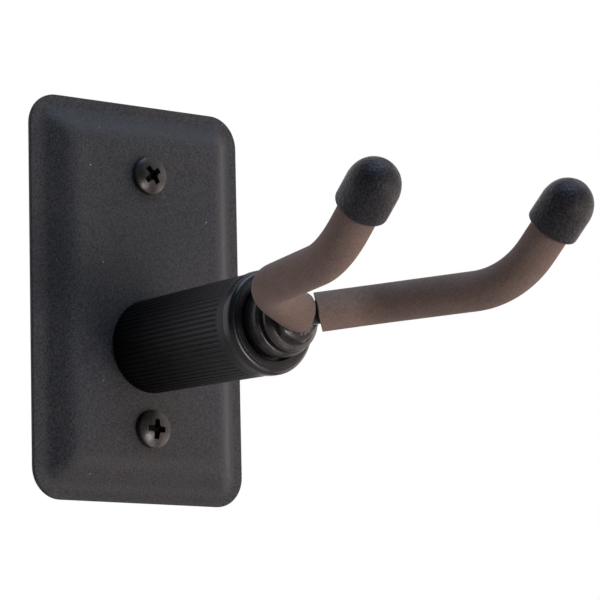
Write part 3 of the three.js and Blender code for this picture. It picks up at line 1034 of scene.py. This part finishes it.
def fork_line():
    """Closely spaced points along the rod's centre line, straight between round bends."""
    corners = fork_corners()
    line = [corners[0]]
    radii = (CROOK_RADIUS, ELBOW_RADIUS, DIP_RADIUS, ELBOW_RADIUS, CROOK_RADIUS)
    for index, radius in enumerate(radii, start=1):
        previous, corner, following = corners[index - 1:index + 2]
        sweep = math.pi - (previous - corner).angle(following - corner)
        steps = max(8, int(radius * sweep / BEND_STEP))
        arc = bend(previous, corner, following, radius, steps)
        line += spaced(line[-1], arc[0]) + arc
    return line + spaced(line[-1], corners[-1]) + [corners[-1]]


def spaced(start, end):
    """Points between two points, without either of them."""
    steps = max(1, int((end - start).length / STRAIGHT_STEP))
    return [start.lerp(end, step / steps) for step in range(1, steps)]


def distances(line):
    """How far along the rod each of the line's points lies."""
    marks = [0.0]
    for before, after in zip(line, line[1:]):
        marks.append(marks[-1] + (after - before).length)
    return marks


def at_distance(line, marks, distance):
    for index in range(1, len(line)):
        if marks[index] >= distance:
            share = (distance - marks[index - 1]) / (marks[index] - marks[index - 1])
            return line[index - 1].lerp(line[index], share)
    return line[-1]


def distance_at_across(line, marks, across):
    """The distance along the rod at which its base, in front of the bolt's head, passes a place across."""
    for index in range(1, len(line)):
        near_base = line[index].y < BASE_FORWARD + BASE_DEPTH
        if near_base and line[index - 1].x < across <= line[index].x:
            share = (across - line[index - 1].x) / (line[index].x - line[index - 1].x)
            return marks[index - 1] + share * (marks[index] - marks[index - 1])
    return marks[-1] / 2


def section(line, marks, distance, radius, segments):
    """A round section of the rod at a distance along it. A line's rings all start from the same side."""
    step = 0.05
    above = Vector((0, 0.3, 1))
    back = at_distance(line, marks, max(0.0, distance - step))
    ahead = at_distance(line, marks, min(marks[-1], distance + step))
    along = (ahead - back).normalized()
    side = along.cross(above).normalized()
    up = side.cross(along)
    centre = at_distance(line, marks, distance)
    ring = []
    for index in range(segments):
        angle = 2 * math.pi * index / segments
        ring.append(tuple(centre + side * (radius * math.cos(angle)) + up * (radius * math.sin(angle))))
    return ring


def stations(marks, start, end):
    """Two distances and the line's own marks between them, except marks that nearly touch an end."""
    gap = 0.3
    return [start] + [mark for mark in marks if start + gap < mark < end - gap] + [end]


def yoke_rod(line, marks):
    """The bare rod, with chamfered ends."""
    length = marks[-1]
    cut = ROD_RADIUS - ROD_CHAMFER
    skin = [(0, cut)]
    skin += [(distance, ROD_RADIUS) for distance in stations(marks, ROD_CHAMFER, length - ROD_CHAMFER)]
    skin.append((length, cut))
    rings = [section(line, marks, distance, radius, ROD_ROUND) for distance, radius in skin]
    points, faces = loft(rings, cap_first=True, cap_last=True)
    piece = build("yoke_rod_bar", points, faces)
    dress(piece, BLACK_STEEL, YOKE_BODY, "yoke_rod")


def weld_profile(room):
    """The weld's flank from the bolt's head up to the rod, with some room round it."""
    return [
        (WELD_RADIUS + room, BOLT_FRONT + room),
        (WELD_WAIST + room, BOLT_FRONT + WELD_FLARE + room),
        (WELD_TOP + room, BASE_FORWARD),
        (0, BASE_FORWARD),
    ]


def yoke_weld():
    """A weld bead with the ripples of its passes round the foot of the rod."""
    rings = []
    for radius, forward in [(0, BOLT_FRONT), *weld_profile(0)]:
        ring = []
        for across, _, up in circle(radius, forward, WELD_ROUND):
            angle = math.atan2(up, across)
            swell = 1 + WELD_SWELL * abs(math.sin(angle * WELD_RIPPLES / 2))
            ring.append((across * swell, forward, up * swell))
        rings.append(ring)
    points, faces = loft(rings)
    dress(build("yoke_weld_bead", points, faces), BLACK_STEEL, YOKE_BODY)


def hub_room():
    """The room a sheath leaves for the bolt's head and the weld."""
    head = BOLT_FLATS / math.sqrt(3) + HUB_ROOM
    profile = [(0, FLANGE_BACK), (head, FLANGE_BACK), (head, BOLT_FRONT + HUB_ROOM)]
    return revolve("hub_room", profile + weld_profile(HUB_ROOM), SMALL_ROUND)


def slant_block():
    """A block whose face lies in the right sheath's slanting cut, on the bolt's side of it."""
    turn = math.radians(SLANT_TURN)
    lean = math.radians(SLANT_LEAN)
    facing = Vector((math.cos(lean) * math.cos(turn), math.cos(lean) * math.sin(turn), math.sin(lean)))
    side = facing.orthogonal().normalized()
    up = facing.cross(side)
    half = 3 * SHEATH_RADIUS
    rings = []
    for depth in (-2 * half, 0):
        centre = Vector(SLANT_PLACE) + facing * depth
        square = ((-half, -half), (half, -half), (half, half), (-half, half))
        rings.append([tuple(centre + side * a + up * b) for a, b in square])
    points, faces = loft(rings, cap_first=True, cap_last=True)
    return build("slant_block", points, faces)


def sheath_edge(cut, inward):
    """A cut end's rounded edge, as (distance, radius) points from the full radius to the cut."""
    steps = 5
    edge = []
    for step in range(steps + 1):
        angle = step / steps * math.pi / 2
        distance = cut + inward * SHEATH_EDGE * (1 - math.sin(angle))
        edge.append((distance, SHEATH_RADIUS - SHEATH_EDGE * (1 - math.cos(angle))))
    return edge


def sheath(name, node, line, marks, start, end, trim=None):
    """A rubber tube over the rod between two distances, with rounded cut ends."""
    between = stations(marks, start + SHEATH_EDGE, end - SHEATH_EDGE)[1:-1]
    skin = sheath_edge(start, 1)[::-1]
    skin += [(distance, SHEATH_RADIUS) for distance in between]
    skin += sheath_edge(end, -1)
    bore = [(distance, SHEATH_BORE) for distance in reversed(stations(marks, start, end))]
    rings = [section(line, marks, distance, radius, SHEATH_ROUND) for distance, radius in skin + bore]
    points, faces = loft(rings, looped=True)
    piece = build(name, points, faces)
    combine(piece, hub_room(), "DIFFERENCE")
    if trim is not None:
        combine(piece, trim, "DIFFERENCE")
    dress(piece, SHEATH_RUBBER, YOKE_BODY, node)


def cap_dome():
    """The cap's dome: a curve from its side, drawn out towards the bulge, to its flat tip."""
    foot = Vector((CAP_RADIUS, CAP_DOME_START))
    bulge = Vector(CAP_BULGE)
    top = Vector((CAP_TIP_FLAT, CAP_TIP))
    steps = 14
    dome = []
    for step in range(steps + 1):
        share = step / steps
        dome.append(foot.lerp(bulge, share).lerp(bulge.lerp(top, share), share))
    return dome


def cap_profile():
    """(radius, distance) points from the middle of the cap's cavity, round its lip and over its dome."""
    lip = rounded([
        (0, CAP_CAVITY, 0),
        (CAP_BORE, CAP_CAVITY, CAP_CAVITY_ROUND),
        (CAP_BORE, CAP_MOUTH, CAP_MOUTH_EDGE),
        (CAP_RADIUS, CAP_MOUTH, CAP_LIP),
        (CAP_RADIUS, CAP_DOME_START, 0),
    ])
    return [tuple(point) for point in lip[:-1] + cap_dome()] + [(0, CAP_TIP)]


def end_cap(name, node, crook, tip):
    """A rubber cap on a tip, turned about the rod's own end."""
    crook, tip = Vector(crook), Vector(tip)
    along = (tip - crook).normalized()
    side = along.orthogonal().normalized()
    up = along.cross(side)
    rings = []
    for radius, distance in cap_profile():
        centre = tip + along * distance
        ring = []
        for index in range(CAP_ROUND):
            angle = 2 * math.pi * index / CAP_ROUND
            arm = side * math.cos(angle) + up * math.sin(angle)
            ring.append(tuple(centre + arm * radius))
        rings.append(ring)
    points, faces = loft(rings)
    dress(build(name, points, faces), CAP_RUBBER, YOKE_BODY, node)


def fork():
    """The rod, the weld, and the sheath and cap of each arm."""
    line = fork_line()
    marks = distances(line)
    yoke_rod(line, marks)
    yoke_weld()
    bare = ROD_OVERRUN - SHEATH_OVERRUN
    left_end = distance_at_across(line, marks, LEFT_SHEATH_START)
    right_start = distance_at_across(line, marks, RIGHT_SHEATH_START)
    sheath("left_sheath_tube", "left_sheath", line, marks, bare, left_end)
    sheath("right_sheath_tube", "right_sheath", line, marks, right_start, marks[-1] - bare, slant_block())
    end_cap("left_cap_boot", "left_cap", LEFT_CROOK, LEFT_TIP)
    end_cap("right_cap_boot", "right_cap", RIGHT_CROOK, RIGHT_TIP)


plate_sheet()
wall_screw("upper_screw", UPPER_TURN)
wall_screw("lower_screw", LOWER_TURN)
post_sleeve()
front_collar()
front_bushing()
thrust_washer()
rear_washer()
spring_washer()
pivot_bolt()
lock_nut()
fork()

core = frame["nodes"]["core_tube"]
core.data.materials.clear()
core.data.materials.append(PLAIN_STEEL)


# Stage: a pale floor below the hanger, a white surround, soft lights and the camera. Lengths are in metres.

RIGHT_GLOW = (1.04, 0.95, 0.9)
REAR_GLOW = (1.2, 1.15, 1.23)
FLOOR_DROP = 1.5
FLOOR_HALF = 6.0
LAMP_DISTANCE = 1.4


def floor():
    half = FLOOR_HALF
    level = cad_low.z - FLOOR_DROP
    mesh = bpy.data.meshes.new("floor")
    corners = [(-half, -half, level), (half, -half, level), (half, half, level), (-half, half, level)]
    mesh.from_pydata(corners, [], [(0, 1, 2, 3)])
    piece = bpy.data.objects.new("floor", mesh)
    bpy.context.scene.collection.objects.link(piece)
    material = bpy.data.materials.new("floor_pale")
    material.use_nodes = True
    surface = material.node_tree.nodes["Principled BSDF"]
    surface.inputs["Base Color"].default_value = (0.8, 0.8, 0.8, 1)
    surface.inputs["Roughness"].default_value = 0.9
    mesh.materials.append(material)


def soft_light(name, target, direction, distance, size, power, colour):
    """A square light that shines on the target from a direction."""
    data = bpy.data.lights.new(name, "AREA")
    data.shape = "SQUARE"
    data.size = size
    data.energy = power
    data.color = colour
    lamp = bpy.data.objects.new(name, data)
    back = Vector(direction).normalized()
    lamp.location = target + back * distance
    lamp.rotation_mode = "QUATERNION"
    lamp.rotation_quaternion = back.to_track_quat("Z", "Y")
    bpy.context.scene.collection.objects.link(lamp)


def surround():
    """Plain white to the camera. It lights the object from the right and from behind the wall plane."""
    world = bpy.data.worlds.new("surround")
    world.use_nodes = True
    tree = world.node_tree
    tree.nodes.clear()
    join = tree.links.new
    place = tree.nodes.new("ShaderNodeTexCoord")
    path = tree.nodes.new("ShaderNodeLightPath")
    right = one_sided_glow(tree, place, (1, 0, 0), RIGHT_GLOW)
    behind = one_sided_glow(tree, place, (0, 1, 0), REAR_GLOW)
    both = tree.nodes.new("ShaderNodeAddShader")
    join(right, both.inputs[0])
    join(behind, both.inputs[1])
    white = tree.nodes.new("ShaderNodeBackground")
    white.inputs["Color"].default_value = (1, 1, 1, 1)
    choose = tree.nodes.new("ShaderNodeMixShader")
    output = tree.nodes.new("ShaderNodeOutputWorld")
    join(path.outputs["Is Camera Ray"], choose.inputs[0])
    join(both.outputs[0], choose.inputs[1])
    join(white.outputs[0], choose.inputs[2])
    join(choose.outputs[0], output.inputs["Surface"])
    bpy.context.scene.world = world


def one_sided_glow(tree, place, direction, colour):
    """A surround that is brightest towards a direction and black on the side away from it."""
    facing = tree.nodes.new("ShaderNodeVectorMath")
    facing.operation = "DOT_PRODUCT"
    facing.inputs[1].default_value = direction
    held = tree.nodes.new("ShaderNodeMath")
    held.operation = "MAXIMUM"
    held.inputs[1].default_value = 0
    glow = tree.nodes.new("ShaderNodeBackground")
    glow.inputs["Color"].default_value = (*colour, 1)
    tree.links.new(place.outputs["Generated"], facing.inputs[0])
    tree.links.new(facing.outputs["Value"], held.inputs[0])
    tree.links.new(held.outputs[0], glow.inputs["Strength"])
    return glow.outputs[0]


def camera():
    """Stands to the left of the hanger and a little below it, looking up at the bolt's head."""
    azimuth = math.radians(38.8)
    pitch = math.radians(8.1)
    roll = math.radians(1.29)
    distance = 0.8684
    aim = to_row((0, BOLT_FRONT + 0.15, -5.4), AXIS_HEIGHT)
    data = bpy.data.cameras.new("camera")
    data.lens = 196
    data.shift_y = 0.0605
    view = bpy.data.objects.new("camera", data)
    turn = Matrix.Rotation(-azimuth, 4, "Z") @ Matrix.Rotation(math.pi / 2 + pitch, 4, "X")
    turn = turn @ Matrix.Rotation(-roll, 4, "Z")
    forward = turn @ Vector((0, 0, -1))
    view.matrix_world = Matrix.Translation(aim - forward * distance) @ turn
    bpy.context.scene.collection.objects.link(view)
    bpy.context.scene.camera = view


floor()
hub = to_row((0, BOLT_FRONT, 0), AXIS_HEIGHT)
soft_light("key", hub, (0.25, -1.0, -0.25), LAMP_DISTANCE, 0.4, 5.8, (1.0, 0.9, 0.88))
soft_light("right_fill", hub, (1.0, -0.25, -0.4), LAMP_DISTANCE, 1.0, 5.0, (1.0, 0.82, 0.75))
soft_light("top_fill", hub, (0.0, -0.4, 1.0), LAMP_DISTANCE, 1.0, 10.5, (0.55, 0.74, 1.0))
soft_light("left_fill", hub, (-0.7, -0.7, 0.8), LAMP_DISTANCE, 1.0, 0.3, (0.76, 0.84, 1.0))
soft_light("low_fill", hub, (0.5, -1.0, -0.9), 0.9, 0.4, 0.8, (1.0, 0.84, 0.78))
surround()
camera()
bpy.context.scene.view_settings.view_transform = "Standard"
